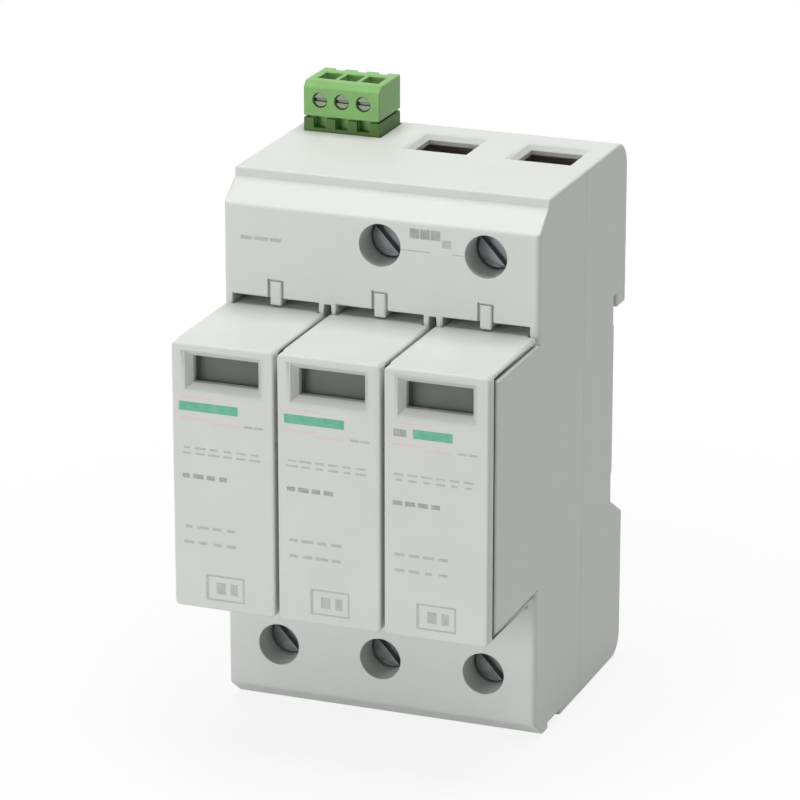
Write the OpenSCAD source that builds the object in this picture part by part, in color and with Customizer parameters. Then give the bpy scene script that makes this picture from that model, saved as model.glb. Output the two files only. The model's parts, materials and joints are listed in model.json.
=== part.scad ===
// Pluggable surge arrester with three poles for a 35 mm top-hat rail.
// Millimetres. X runs along the rail, Y from the front to the rail, Z up.
// The origin is the middle of the rail seat. Depths are measured ahead of that seat, towards the front.

/* [Overall size] */
// Width of one pole along the rail
pole_pitch = 17.8; // [17.6:0.1:20]
// Housing above the rail centre line
body_top = 43.3; // [42.8:0.1:46]
// Housing below the rail centre line
body_bottom = 46.7; // [46:0.1:50]
// Terminal shoulders ahead of the rail seat
shoulder_depth = 38; // [37.5:0.5:42]
// Plug fronts ahead of the rail seat
plug_front = 60; // [58:0.5:66]
// Housing behind the rail seat
rear_depth = 5.5; // [5.2:0.1:7]
// Parting plane of the housing ahead of the rail seat
seam_depth = 15.5; // [15:0.1:16.5]

/* [Housing] */
// Wall of the moulded housing
wall = 1.8; // [1.5:0.1:2]
// Rounding of the upright outer edges
edge_radius = 1; // [0.6:0.1:1.4]
// Length of the slope along the front edge of the upper shoulder
upper_slope = 4.8; // [4:0.1:5]
// Height of that slope
upper_rise = 3.3; // [2.8:0.1:3.6]
// Step between that slope and the top
top_step = 1.5; // [1:0.1:1.8]
// Length of the slope along the bottom front edge
lower_slope = 4.1; // [3.5:0.1:5]
// Height of that slope
lower_rise = 3; // [2.6:0.1:3.6]
// Rounding of the upper rear edge
rear_top_radius = 4.5; // [3:0.1:5]
// Rounding of the lower rear edge
rear_bottom_radius = 3.8; // [3:0.1:5]
// Length of the shallow finger recess under the lower shoulder
recess_length = 6; // [4:0.5:8]
// Height of that recess
recess_height = 0.9; // [0.5:0.1:1]

/* [Rail foot] */
// Height of the rail that the foot fits
rail_height = 35; // [34.8:0.1:35.2]
// Thickness of the rail flange
rail_flange = 1; // [0.8:0.1:1.2]
// Overlap of the hook and the latch nose on the rail flange
hook_reach = 2; // [1.5:0.1:2.4]
// Height of the raised pad that seats on the rail
pad_height = 0.4; // [0.2:0.1:0.6]
// Height of the pad along the rail's web side
pad_span = 26; // [20:1:30]
// Width of the latch
latch_width = 14; // [12:0.5:16]
// Travel of the latch when it is pulled down
latch_travel = 4; // [3:0.1:5]
// Guide flange on each side of the latch
latch_flange = 1.2; // [0.8:0.1:1.6]

/* [Plug bays] */
// Inner width of a bay
bay_width = 14.6; // [14:0.1:15]
// Dark gap above and below a plug in its bay
bay_gap = 1.5; // [0.9:0.1:1.6]
// Thickness of the bay floor that carries the blade slots
bay_floor = 2; // [1.5:0.1:2.5]
// Width of the guide rib in the middle of a bay
rib_width = 2; // [1.5:0.1:2.5]
// Width of the slot between two neighbouring bays
bay_slot = 1.2; // [0.8:0.1:1.6]

/* [Plugs] */
// Height of a plug
plug_height = 44; // [43:0.5:45]
// Gap between two neighbouring plug fronts
plug_gap = 0.6; // [0.4:0.1:0.8]
// Thickness of the front cap of a plug
plug_cap = 2.6; // [2.2:0.1:3]
// Thickness of the rims that cover the cheeks above and below
plug_rim = 1; // [0.8:0.1:1.2]
// Wall of the plug housing
plug_wall = 1.4; // [1.2:0.1:1.6]
// Rounding of the corners of the plug front
plug_corner = 0.8; // [0.5:0.1:1.2]
// Thickness of the rear plate of a plug
plug_base = 2; // [1.6:0.1:2.4]
// Width of the window pocket at the plug front
window_width = 13.4; // [12:0.1:14]
// Height of the window pocket at the plug front
window_height = 5.6; // [5:0.1:5.8]
// Middle of the window above the rail centre line
window_rise = 17.4; // [17:0.1:17.6]
// Bevel of the window pocket on each side
window_bevel = 1.2; // [0.8:0.1:1.4]
// Thickness of the window pane and of the status flag
pane = 1; // [0.8:0.1:1.2]
// Travel of the status flag when it drops
flag_drop = 6; // [5:0.1:6.5]
// Thickness of the varistor block
varistor_thickness = 7.2; // [6:0.1:8]
// Height of the varistor block
varistor_height = 30; // [26:0.5:32]

/* [Contacts] */
// Thickness of the plug blades
blade = 1.2; // [1:0.1:1.4]
// Height of a plug blade
blade_height = 8.4; // [7:0.1:9]
// Middle of a blade above or below the rail centre line
blade_offset = 14; // [13:0.1:14.5]
// Thickness of the contact jaws
jaw = 0.8; // [0.6:0.1:1]
// Thickness of the copper bars
strip = 1.2; // [1:0.1:1.4]
// Width of the copper bars
strip_width = 8; // [7:0.1:8.4]

/* [Terminals] */
// Upper terminal screws below the top of the housing
upper_inset = 9.1; // [8.6:0.1:9.4]
// Lower terminal screws above the bottom of the housing
lower_inset = 10.8; // [9.8:0.1:11.2]
// Radius of the screw access holes
access_radius = 3.5; // [3.4:0.05:3.6]
// Radius of a screw head
head_radius = 3.2; // [2.9:0.05:3.3]
// Length of a screw head
head_length = 3; // [2.5:0.1:3.5]
// Screw heads behind the shoulder face
head_sink = 5; // [4.6:0.1:5.5]
// Radius of a screw shank
shank_radius = 2.5; // [2:0.05:2.6]
// Travel of a clamp cage for one turn of its screw
thread_pitch = 0.8; // [0.7:0.05:0.8]
// Turns of a screw from open to clamped
screw_turns = 10; // [8:1:10]
// Inner width of a clamp cage
cage_width = 9.6; // [9:0.1:10.4]
// Height of a clamp cage
cage_height = 9; // [7:0.1:9.6]
// Wall of a clamp cage
cage_wall = 1.2; // [1:0.1:1.4]
// Room for a wire between the bar and the open cage
wire_room = 9.4; // [9:0.1:9.8]
// Bevel of the funnel mouth of a wire entry
funnel = 0.9; // [0.5:0.1:1.2]

/* [Signal connector] */
// Width of the connector head
signal_width = 13.4; // [12.8:0.1:13.6]
// Depth of the connector head, front to rear
signal_depth = 9.6; // [9.2:0.1:10]
// Front of the connector head ahead of the rail seat
signal_front = 8.6; // [8.2:0.1:9]
// Connector head above the housing
signal_rise = 8.3; // [7.2:0.1:8.5]
// Rim of the pin header above the housing
header_rise = 2.2; // [1.8:0.1:2.6]
// Connector below the top of the housing
signal_sink = 6; // [5:0.1:6.5]
// Middle of the connector beyond the middle of its pole
signal_shift = 0.3; // [0:0.1:0.4]
// Spacing of the connector's ways
way_pitch = 3.81; // [3.6:0.01:3.9]

/* [Hidden] */
$fn = 48;
slide_gap = 0.3;      // clearance of what slides or turns freely
snug_gap = 0.1;       // clearance of what is held in place
thread_gap = 0.05;    // radial clearance of a screw in its thread
slack = 1;            // length that a cut runs past the face it opens

poles = [-pole_pitch, 0, pole_pitch];
half_width = 1.5 * pole_pitch;
upper = 1;
lower = -1;

// Plugs and bays
plug_half = plug_height / 2;
bay_half = bay_width / 2;
bay_half_height = plug_half + bay_gap;
bay_back = seam_depth + bay_floor;
plug_rear = bay_back + slide_gap;
plug_body_half = bay_half - slide_gap;
cap_half = (pole_pitch - plug_gap) / 2;
cap_back = plug_front - plug_cap;
cheek_front = cap_back - slide_gap;
cheek_half = plug_half - plug_rim - slide_gap;
shell_half = plug_body_half - plug_wall;
shell_half_height = plug_half - plug_wall;
shell_back = plug_rear + plug_base;
base_rim = 1.6;
bay_slot_depth = 4;
slit = 0.4;
slit_depth = 0.6;
tongue_width = 2.8;
tongue_height = 3.2;

// Window, flag and flag spring
throat_half = window_width / 2 - window_bevel;
throat_half_height = window_height / 2 - window_bevel / 2;
pocket_depth = 1.6;
pane_back = cap_back - pane;
flag_front = pane_back - slide_gap;
flag_back = flag_front - pane;
flag_half = shell_half - slide_gap;
flag_tab = 1.2;
flag_tab_half = 1;
flag_tab_height = 1;
flag_lap = 0.2;
flag_low = window_rise - window_height / 2 - flag_lap;
flag_high = shell_half_height - slide_gap - snug_gap;
coil_radius = 0.75;
coil_wire = 0.16;
coil_turns = 8;
coil_depth = flag_back - snug_gap - coil_radius - coil_wire;
closed_coil = 3;
anchor_high = flag_low - flag_drop - closed_coil;
anchor_height = 1.2;
anchor_half = 1;

// Varistor and blades
varistor_front = coil_depth - anchor_half - slide_gap;
varistor_gap = 0.8;
varistor_corner = 3;
bend_gap = 1.1;
blade_bend = shell_back + base_rim + bend_gap;
varistor_rear = blade_bend + blade + varistor_gap;
plate = 1;
plate_height = 12;
plate_length = 16;
blade_half = blade / 2;
blade_low = blade_offset - blade_height / 2;
blade_high = blade_offset + blade_height / 2;

// Bars and contact jaws
contact_back = wall + pad_height;
foot_front = contact_back + strip;
jaw_back = foot_front + jaw;
bar_set = 1.5;
bar_front = seam_depth - bar_set;
bar_back = bar_front - strip;
tip_gap = 1;
blade_tip = jaw_back + tip_gap;
leg_set = 0.5;
leg_high = bay_half_height - leg_set;
leg_low = leg_high - strip;
bar_end = 5.5;

// Terminals: place along the rail, height and side
upper_screw = body_top - upper_inset;
lower_screw = body_bottom - lower_inset;
terminals = [
    [poles[1], upper_screw, upper],
    [poles[2], upper_screw, upper],
    [poles[0], -lower_screw, lower],
    [poles[1], -lower_screw, lower],
    [poles[2], -lower_screw, lower]
];
head_front = shoulder_depth - head_sink;
head_back = head_front - head_length;
shelf_front = head_back - slide_gap;
shelf = 1.2;
shelf_back = shelf_front - shelf;
boss_wall = 1.6;
boss_radius = access_radius + boss_wall;
boss_front = shoulder_depth - wall + snug_gap;
screw_slot = 1.4;
screw_slot_depth = 1.2;
screw_slot_turn = 48;
screw_tip = bar_front + slide_gap;
cage_travel = thread_pitch * screw_turns;
cage_front = shelf_back - slide_gap - cage_travel;
cage_front_wall = 2;
cage_half = cage_width / 2;
cage_inner_back = bar_back - wire_room;
cage_back = cage_inner_back - cage_wall;
entry_step = 0.2;
entry_half = cage_half - entry_step;
entry_front = bar_back - entry_step;
entry_back = cage_inner_back + entry_step;
funnel_depth = 0.6 * wall;

// Chambers of the housing
chamber_low = bay_half_height + wall;
upper_back = wall - rear_depth;
bevel_inset = tan(22.5) * wall;
recess_set = 2.5;

// Rail foot
rail_half = rail_height / 2;
seat_half = rail_half + slide_gap;
hook_gap = rail_flange + slide_gap;
hook_tip = rail_half - hook_reach;
lead_in = 3.5;
latch_play = 0.2;
latch_set = rail_flange + latch_play;
lower_back = wall - latch_set;
latch_front = latch_set + slide_gap;
latch_rear = rear_depth - slide_gap;
latch_half = latch_width / 2;
latch_flange_depth = 1.8;
latch_lift = 0.5;
latch_bottom = latch_lift - body_bottom;
flange_lift = 4;
flange_low = latch_bottom + flange_lift;
flange_drop = 2;
flange_high = -seat_half - lead_in - flange_drop;
nose_bevel = 3.2;
eye_half = 3;
eye_rim = 1.2;
eye_height = 2.2;
eye_low = latch_bottom + eye_rim;
eye_high = eye_low + eye_height;
spring_radius = 1.4;
spring_wire = 0.3;
spring_axis = (latch_front + latch_rear) / 2;
spring_half = spring_radius + spring_wire;
window_play = 1;
window_half = spring_half + window_play;
spring_drop = 7;
spring_top = -seat_half - spring_drop;
spring_length = 9.4;
spring_turns = 7;
peg_height = 1.8;
peg_top = spring_top - spring_length;
peg_play = 0.4;
peg_half = window_half - peg_play;

// Signal connector
signal_x = poles[0] - signal_shift;
signal_half = signal_width / 2;
signal_back = signal_front - signal_depth;
signal_middle = signal_front - signal_depth / 2;
signal_top = body_top + signal_rise;
header_top = body_top + header_rise;
header_wall = 0.6;
header_gap = 0.2;
header_floor = 1;
header_depth = 9.8;
header_low = body_top - header_depth;
head_low = header_top + slide_gap;
head_edge = 1;
stem_step = header_wall + header_gap;
stem_half = signal_half - stem_step;
stem_front = signal_front - stem_step;
stem_back = signal_back + stem_step;
stem_low = body_top - signal_sink;
key_half = 1.1;
key_depth = 1.1;
key_lift = 0.5;
board = 1.6;
board_low = header_low - board;
pin_half = 0.5;
pin_sink = 2.4;
pin_top = body_top - pin_sink;
switch_half = 3.5;
switch_length = 5;
switch_height = 4;
switch_set = 0.5;
ways = [-way_pitch, 0, way_pitch];
way_drop = 3.1;
way_screw = signal_top - way_drop;
way_head = 1.2;
way_bore = way_head + snug_gap;
way_shank = 0.8;
way_sink = 0.5;
way_tip = 1.6;
way_slot = 0.5;
way_slot_depth = 0.6;
way_shaft = 1.6;
shaft_wall = 2.6;
shaft_reach = 2.2;
shaft_lift = 1.1;
shaft_front = signal_front - shaft_wall;
shaft_back = signal_middle - shaft_reach;
shaft_low = body_top + shaft_lift;
probe_half = 0.8;
probe_depth = 0.9;
probe_height = 1.3;
clamp_wall = 0.4;
clamp_front_wall = 0.8;
clamp_back_wall = 0.6;
clamp_rise = 1.4;
clamp_top = way_screw + clamp_rise;

// Colours of the mouldings and metals
shell_grey = [0.84, 0.85, 0.83];
latch_grey = [0.30, 0.31, 0.32];
copper = [0.78, 0.50, 0.32];
tinned = [0.76, 0.76, 0.74];
zinc = [0.66, 0.67, 0.68];
connector_green = [0.38, 0.66, 0.36];
header_green = [0.16, 0.30, 0.13];

// Box between two places along X, two depths and two heights
module slab(x, depth, z) {
    translate([x[0], -depth[0], z[0]])
        cube([x[1] - x[0], depth[0] - depth[1], z[1] - z[0]]);
}

// Box on one side of the rail centre line, mirrored for the lower side
module sided_slab(side, x, depth, z) {
    slab(x, depth, side == upper ? z : [-z[1], -z[0]]);
}

// Round bar from one depth to another at [x, z]
module rod(radius, depth, at) {
    translate([at[0], -depth[0], at[1]])
        rotate([-90, 0, 0])
            cylinder(r = radius, h = depth[0] - depth[1]);
}

// Solid drawn in the side view, [Y, Z], and run along X
module along_rail(x) {
    translate([x[0], 0, 0])
        rotate([90, 0, 90])
            linear_extrude(x[1] - x[0])
                children();
}

// Solid drawn in the front view, [X, Z], and run along the depth
module along_depth(depth) {
    translate([0, -depth[1], 0])
        rotate([90, 0, 0])
            linear_extrude(depth[0] - depth[1])
                children();
}

// What a rounded corner takes off a sharp one that opens towards [1, 1] before it is turned
module corner_cut(at, turn, radius) {
    translate(at)
        rotate(turn)
            difference() {
                translate([-slack, -slack])
                    square(radius + slack);
                translate([radius, radius])
                    circle(radius);
            }
}

// Rectangle between two corners with rounded corners
module rounded_plate(low, high, radius) {
    difference() {
        translate(low)
            square(high - low);
        corner_cut(low, 0, radius);
        corner_cut([high[0], low[1]], 90, radius);
        corner_cut(high, 180, radius);
        corner_cut([low[0], high[1]], 270, radius);
    }
}

// Wire coil that stands on its foot, swept by rings of points
module coil(radius, wire, height, turns) {
    steps = 10;
    sides = 6;
    last = turns * steps;
    rise = (height - 2 * wire) / last;
    slope = atan(rise * steps / (2 * PI * radius));
    points = [
        for (i = [0:last]) let (a = 360 * i / steps)
            for (j = [0:sides - 1]) let (b = 360 * j / sides, out = radius + wire * cos(b), up = wire * sin(b))
                [
                    out * cos(a) + up * sin(slope) * sin(a),
                    out * sin(a) - up * sin(slope) * cos(a),
                    wire + i * rise + up * cos(slope)
                ]
    ];
    skin = [
        for (i = [0:last - 1])
            for (j = [0:sides - 1]) let (k = (j + 1) % sides, a = i * sides, b = a + sides)
                each [[a + j, a + k, b + k], [a + j, b + k, b + j]]
    ];
    first_end = [for (j = [0:sides - 1]) sides - 1 - j];
    last_end = [for (j = [0:sides - 1]) last * sides + j];
    polyhedron(points, concat(skin, [first_end], [last_end]), convexity = 10);
}

// Side view of the whole housing without the cheeks
module body_outline() {
    pad_half = pad_span / 2;
    difference() {
        polygon([
            [-shoulder_depth, lower_rise - body_bottom],
            [lower_slope - shoulder_depth, -body_bottom],
            [rear_depth, -body_bottom],
            [rear_depth, -seat_half - lead_in],
            [-pad_height, -seat_half],
            [-pad_height, -pad_half],
            [0, -pad_half],
            [0, pad_half],
            [-pad_height, pad_half],
            [-pad_height, seat_half],
            [hook_gap, seat_half],
            [hook_gap, hook_tip],
            [rear_depth, hook_tip],
            [rear_depth, body_top],
            [upper_slope - shoulder_depth, body_top],
            [upper_slope - shoulder_depth, body_top - top_step],
            [-shoulder_depth, body_top - top_step - upper_rise]
        ]);
        corner_cut([rear_depth, body_top], 180, rear_top_radius);
        corner_cut([rear_depth, -body_bottom], 90, rear_bottom_radius);
    }
}

// Housing between two depths, with its upright edges rounded
module body_block(depth) {
    intersection() {
        along_rail([-half_width, half_width])
            body_outline();
        translate([0, 0, -body_bottom - slack])
            linear_extrude(body_bottom + body_top + 2 * slack)
                rounded_plate([-half_width, -shoulder_depth], [half_width, rear_depth], edge_radius);
        slab([-half_width, half_width], depth, [-body_bottom, body_top]);
    }
}

// Walls between and beside the plugs, ahead of the shoulders
module cheeks() {
    partition = pole_pitch - bay_width;
    for (x = [-half_width - partition / 2, poles[0] + bay_half, poles[1] + bay_half, poles[2] + bay_half])
        slab(
            [max(x, -half_width), min(x + partition, half_width)],
            [cheek_front, shoulder_depth - edge_radius],
            [-cheek_half, cheek_half]
        );
}

// Hollow of one shoulder behind its sloped front edge, with a full wall at the foot of the top step
module shoulder_hollow(x, side) {
    far = (side == upper ? body_top : body_bottom) - wall;
    front = wall - shoulder_depth;
    inset = 2 * bevel_inset - wall;
    length = inset + (side == upper ? upper_slope + top_step / 2 : lower_slope);
    rise = inset + (side == upper ? upper_rise + 1.5 * top_step : lower_rise);
    mirror([0, 0, side == upper ? 0 : 1])
        along_rail([x - bay_half, x + bay_half])
            polygon([
                [front, chamber_low],
                [front, far - rise],
                [front + length, far],
                [slack - seam_depth, far],
                [slack - seam_depth, chamber_low]
            ]);
}

// Tapered opening: a mouth that narrows by the bevel and then runs straight, all along +Z
module tapered_opening(half, bevel, taper, length) {
    intersection() {
        rotate([90, 0, 0])
            linear_extrude(4 * half[1], center = true)
                taper_outline(half[0], bevel, taper, length);
        rotate([90, 0, 90])
            linear_extrude(4 * half[0], center = true)
                taper_outline(half[1], bevel, taper, length);
    }
}

// Outline of a tapered opening whose mouth lies at height 0
module taper_outline(half, bevel, taper, length) {
    polygon([
        [-half, -length],
        [half, -length],
        [half, -taper],
        [half + bevel, 0],
        [half + bevel, slack],
        [-half - bevel, slack],
        [-half - bevel, 0],
        [-half, -taper]
    ]);
}

// Slit outline of the spring tongue above each plug
module tongue_slits(x) {
    low = bay_half_height;
    high = low + tongue_height;
    half = tongue_width / 2;
    depth = [shoulder_depth + slack, shoulder_depth - slit_depth];
    slab([x - half, x + half], depth, [high - slit, high]);
    for (edge = [x - half, x + half - slit])
        slab([edge, edge + slit], depth, [low - slack / 2, high]);
}

module front_housing() {
    color(shell_grey)
        difference() {
            union() {
                difference() {
                    union() {
                        body_block([shoulder_depth, seam_depth]);
                        cheeks();
                    }
                    for (x = poles) {
                        bay(x);
                        tongue_slits(x);
                        shoulder_hollow(x, upper);
                        shoulder_hollow(x, lower);
                    }
                    for (x = [poles[0], poles[1]])
                        bay_slots(x + pole_pitch / 2);
                }
                for (terminal = terminals)
                    rod(boss_radius, [boss_front, shelf_back], terminal);
                for (x = poles)
                    guide_ribs(x);
            }
            for (terminal = terminals) {
                rod(access_radius, [shoulder_depth + slack, shelf_front], terminal);
                rod(shank_radius + slide_gap, [shelf_front + slack, shelf_back - slack], terminal);
            }
            finger_recess();
        }
}

// Bay of one plug with the two blade slots in its floor
module bay(x) {
    slot_half = blade_half + 2 * slide_gap;
    slab([x - bay_half, x + bay_half], [shoulder_depth + slack, bay_back], [-bay_half_height, bay_half_height]);
    for (side = [upper, lower])
        sided_slab(
            side,
            [x - slot_half, x + slot_half],
            [bay_back + slack, seam_depth - slack],
            [blade_low - 2 * slide_gap, blade_high + 2 * slide_gap]
        );
}

// Slot in the wall between two bays, above and below the cheeks
module bay_slots(x) {
    for (side = [upper, lower])
        sided_slab(
            side,
            [x - bay_slot / 2, x + bay_slot / 2],
            [shoulder_depth + slack, shoulder_depth - bay_slot_depth],
            [cheek_half, bay_half_height]
        );
}

// Ribs in the middle of a bay that guide the plug above and below
module guide_ribs(x) {
    for (side = [upper, lower])
        sided_slab(
            side,
            [x - rib_width / 2, x + rib_width / 2],
            [shoulder_depth, bay_back],
            [plug_half + slide_gap, bay_half_height + wall / 2]
        );
}

module finger_recess() {
    front = shoulder_depth - lower_slope - recess_set;
    slab(
        [-half_width - slack, half_width + slack],
        [front, front - recess_length],
        [-body_bottom - slack, recess_height - body_bottom]
    );
}

module rear_housing() {
    color(shell_grey)
        difference() {
            union() {
                difference() {
                    body_block([seam_depth, -rear_depth]);
                    for (x = poles)
                        contact_chamber(x);
                    busbar_way();
                    latch_channel();
                }
                spring_peg();
            }
            for (terminal = terminals)
                wire_entry(terminal);
            signal_opening();
        }
}

// Chamber behind one bay, with the terminal chambers above and below it
module contact_chamber(x) {
    span = [x - bay_half, x + bay_half];
    slab(span, [seam_depth + slack, contact_back], [-chamber_low, chamber_low]);
    slab(span, [seam_depth + slack, upper_back], [chamber_low - slack, body_top - wall]);
    slab(span, [seam_depth + slack, lower_back], [wall - body_bottom, slack - chamber_low]);
}

// Way for the common bar through the walls between the poles
module busbar_way() {
    slab(
        [poles[0], poles[2]],
        [seam_depth + slack, contact_back],
        [leg_low - slide_gap, leg_high + slide_gap]
    );
}

// Funnel through the top or bottom wall for the wire of one terminal
module wire_entry(terminal) {
    face = terminal[2] == upper ? body_top : body_bottom;
    middle = (entry_front + entry_back) / 2;
    half = [entry_half, (entry_front - entry_back) / 2];
    mirror([0, 0, terminal[2] == upper ? 0 : 1])
        translate([terminal[0], -middle, face])
            tapered_opening(half, funnel, funnel_depth, wall + slack);
}

module signal_opening() {
    slab(
        [signal_x - signal_half - snug_gap, signal_x + signal_half + snug_gap],
        [signal_front + snug_gap, signal_back - snug_gap],
        [body_top - wall - slack, body_top + slack]
    );
}

// Channel of the latch, open at the rear and below, with a groove for the flange on each side
module latch_channel() {
    half = latch_half + slide_gap;
    groove_half = half + latch_flange;
    slab([-half, half], [-latch_set, -rear_depth - slack], [-body_bottom - slack, -seat_half + slack]);
    slab(
        [-groove_half, groove_half],
        [-latch_set, -latch_front - latch_flange_depth - slide_gap],
        [-body_bottom - slack, flange_high + slide_gap]
    );
}

// Peg on the channel floor that the latch spring stands on
module spring_peg() {
    slab([-peg_half, peg_half], [-latch_set, -spring_axis - spring_half], [peg_top - peg_height, peg_top]);
}

module rail_latch() {
    color(latch_grey)
        difference() {
            union() {
                along_rail([-latch_half, latch_half])
                    polygon([
                        [latch_front, latch_bottom],
                        [latch_rear, latch_bottom],
                        [latch_rear, -hook_tip - nose_bevel],
                        [latch_rear - nose_bevel, -hook_tip],
                        [latch_front, -hook_tip]
                    ]);
                slab(
                    [-latch_half - latch_flange, latch_half + latch_flange],
                    [-latch_front, -latch_front - latch_flange_depth],
                    [flange_low, flange_high]
                );
            }
            slab(
                [-window_half, window_half],
                [slack - latch_front, -latch_rear - slack],
                [peg_top - peg_height - latch_travel - slide_gap, spring_top + slide_gap]
            );
            slab([-eye_half, eye_half], [slack - latch_front, -latch_rear - slack], [eye_low, eye_high]);
        }
}

module latch_spring() {
    color(zinc)
        translate([0, spring_axis, peg_top])
            coil(spring_radius, spring_wire, spring_length, spring_turns);
}

module terminal_screw(terminal) {
    slot_half = screw_slot / 2;
    color(zinc)
        difference() {
            union() {
                rod(head_radius, [head_front, head_back], terminal);
                rod(shank_radius, [head_back, screw_tip], terminal);
            }
            translate([terminal[0], 0, terminal[1]])
                rotate([0, screw_slot_turn, 0])
                    slab(
                        [-2 * head_radius, 2 * head_radius],
                        [head_front + slack, head_front - screw_slot_depth],
                        [-slot_half, slot_half]
                    );
        }
}

module clamp_cage(terminal) {
    x = terminal[0];
    z = [terminal[1] - cage_height / 2, terminal[1] + cage_height / 2];
    outer = cage_half + cage_wall;
    color(zinc)
        difference() {
            slab([x - outer, x + outer], [cage_front, cage_back], z);
            slab(
                [x - cage_half, x + cage_half],
                [cage_front - cage_front_wall, cage_inner_back],
                [z[0] - slack, z[1] + slack]
            );
            rod(shank_radius + thread_gap, [cage_front + slack, cage_front - cage_front_wall - slack], terminal);
        }
}

// Foot of a bar behind the contact jaws of one pole
module bar_foot(side, x) {
    half = strip_width / 2;
    sided_slab(side, [x - half, x + half], [foot_front, contact_back], [blade_low, leg_low]);
}

// Tongue of a bar inside the clamp cage of one terminal
module bar_tongue(side, x, screw) {
    half = strip_width / 2;
    sided_slab(side, [x - half, x + half], [bar_front, bar_back], [leg_low, screw + bar_end]);
}

module line_bar(x) {
    half = strip_width / 2;
    color(copper)
        union() {
            bar_foot(lower, x);
            sided_slab(lower, [x - half, x + half], [bar_front, contact_back], [leg_low, leg_high]);
            bar_tongue(lower, x, lower_screw);
        }
}

module pe_busbar() {
    half = strip_width / 2;
    color(copper)
        union() {
            slab([poles[0] - half, poles[2] + half], [bar_front, contact_back], [leg_low, leg_high]);
            for (x = poles)
                bar_foot(upper, x);
            for (x = [poles[1], poles[2]])
                bar_tongue(upper, x, upper_screw);
        }
}

// Pair of jaws on a common root that grip one plug blade
module contact_clip(side, x) {
    inner = blade_half + snug_gap;
    outer = inner + jaw;
    color(tinned)
        union() {
            sided_slab(side, [x - outer, x + outer], [jaw_back, foot_front], [blade_low, blade_high]);
            for (edge = [x - outer, x + inner])
                sided_slab(side, [edge, edge + jaw], [bar_front, jaw_back], [blade_low, blade_high]);
        }
}

// Pin header whose rim rises through the top of the housing, with a keyway ahead of each pin
module signal_socket() {
    inner = signal_half - header_wall;
    color(header_green)
        difference() {
            slab([signal_x - signal_half, signal_x + signal_half], [signal_front, signal_back], [header_low, header_top]);
            slab(
                [signal_x - inner, signal_x + inner],
                [signal_front - header_wall, signal_back + header_wall],
                [header_low + header_floor, header_top + slack]
            );
            for (way = ways) {
                pin_way(way, pin_half + thread_gap, [header_low - slack, header_top]);
                slab(
                    [signal_x + way - key_half, signal_x + way + key_half],
                    [signal_front + slack, signal_front - header_wall - slack],
                    [body_top + key_lift, header_top + slack]
                );
            }
        }
}

// Square prism around one pin of the connector
module pin_way(way, half, z) {
    x = signal_x + way;
    slab([x - half, x + half], [signal_middle + half, signal_middle - half], z);
}

module signal_pins() {
    color(tinned)
        for (way = ways)
            pin_way(way, pin_half, [board_low, pin_top]);
}

module signal_board() {
    color([0.16, 0.40, 0.24])
        difference() {
            slab([signal_x - signal_half, signal_x + signal_half], [bar_front, signal_back], [board_low, header_low]);
            for (way = ways)
                pin_way(way, pin_half + thread_gap, [board_low - slack, header_low + slack]);
        }
}

module signal_switch() {
    front = bar_front - switch_set;
    color([0.15, 0.15, 0.16])
        slab(
            [signal_x - switch_half, signal_x + switch_half],
            [front, front - switch_length],
            [board_low - switch_height, board_low]
        );
}

module signal_plug() {
    color(connector_green)
        difference() {
            union() {
                along_rail([signal_x - signal_half, signal_x + signal_half])
                    polygon([
                        [-signal_front, head_low],
                        [-signal_back, head_low],
                        [-signal_back, signal_top],
                        [head_edge - signal_front, signal_top],
                        [-signal_front, signal_top - head_edge]
                    ]);
                slab(
                    [signal_x - stem_half, signal_x + stem_half],
                    [stem_front, stem_back],
                    [stem_low, head_low + slack]
                );
            }
            for (way = ways)
                signal_way(signal_x + way);
        }
}

// Cuts for one way of the connector: screw bore, wire shaft, pin hole, keyway and probe notch
module signal_way(x) {
    rod(way_bore, [signal_front + slack, shaft_front - slack], [x, way_screw]);
    slab([x - way_shaft, x + way_shaft], [shaft_front, shaft_back], [shaft_low, signal_top + slack]);
    pin_way(x - signal_x, pin_half + slide_gap, [stem_low - slack, shaft_low + slack]);
    slab([x - key_half, x + key_half], [stem_front + slack, stem_front - key_depth], [stem_low - slack, head_low]);
    slab(
        [x - probe_half, x + probe_half],
        [signal_back + probe_depth, signal_back - slack],
        [signal_top - probe_height, signal_top + slack]
    );
}

// Small box clamps in the connector, open above and below for the wire
module signal_clamps() {
    half = way_shaft - snug_gap;
    inner = half - clamp_wall;
    front = shaft_front - snug_gap;
    back = shaft_back + snug_gap;
    color(tinned)
        for (way = ways) {
            x = signal_x + way;
            difference() {
                slab([x - half, x + half], [front, back], [shaft_low, clamp_top]);
                slab(
                    [x - inner, x + inner],
                    [front - clamp_front_wall, back + clamp_back_wall],
                    [shaft_low - slack, clamp_top + slack]
                );
                rod(way_shank + thread_gap, [front + slack, front - slack], [x, way_screw]);
            }
        }
}

module signal_screw(way) {
    at = [signal_x + way, way_screw];
    front = signal_front - way_sink;
    back = shaft_front + slide_gap;
    slot_half = way_slot / 2;
    color(zinc)
        difference() {
            union() {
                rod(way_head, [front, back], at);
                rod(way_shank, [back, shaft_front - way_tip], at);
            }
            slab(
                [at[0] - 2 * way_head, at[0] + 2 * way_head],
                [front + slack, front - way_slot_depth],
                [at[1] - slot_half, at[1] + slot_half]
            );
        }
}

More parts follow.
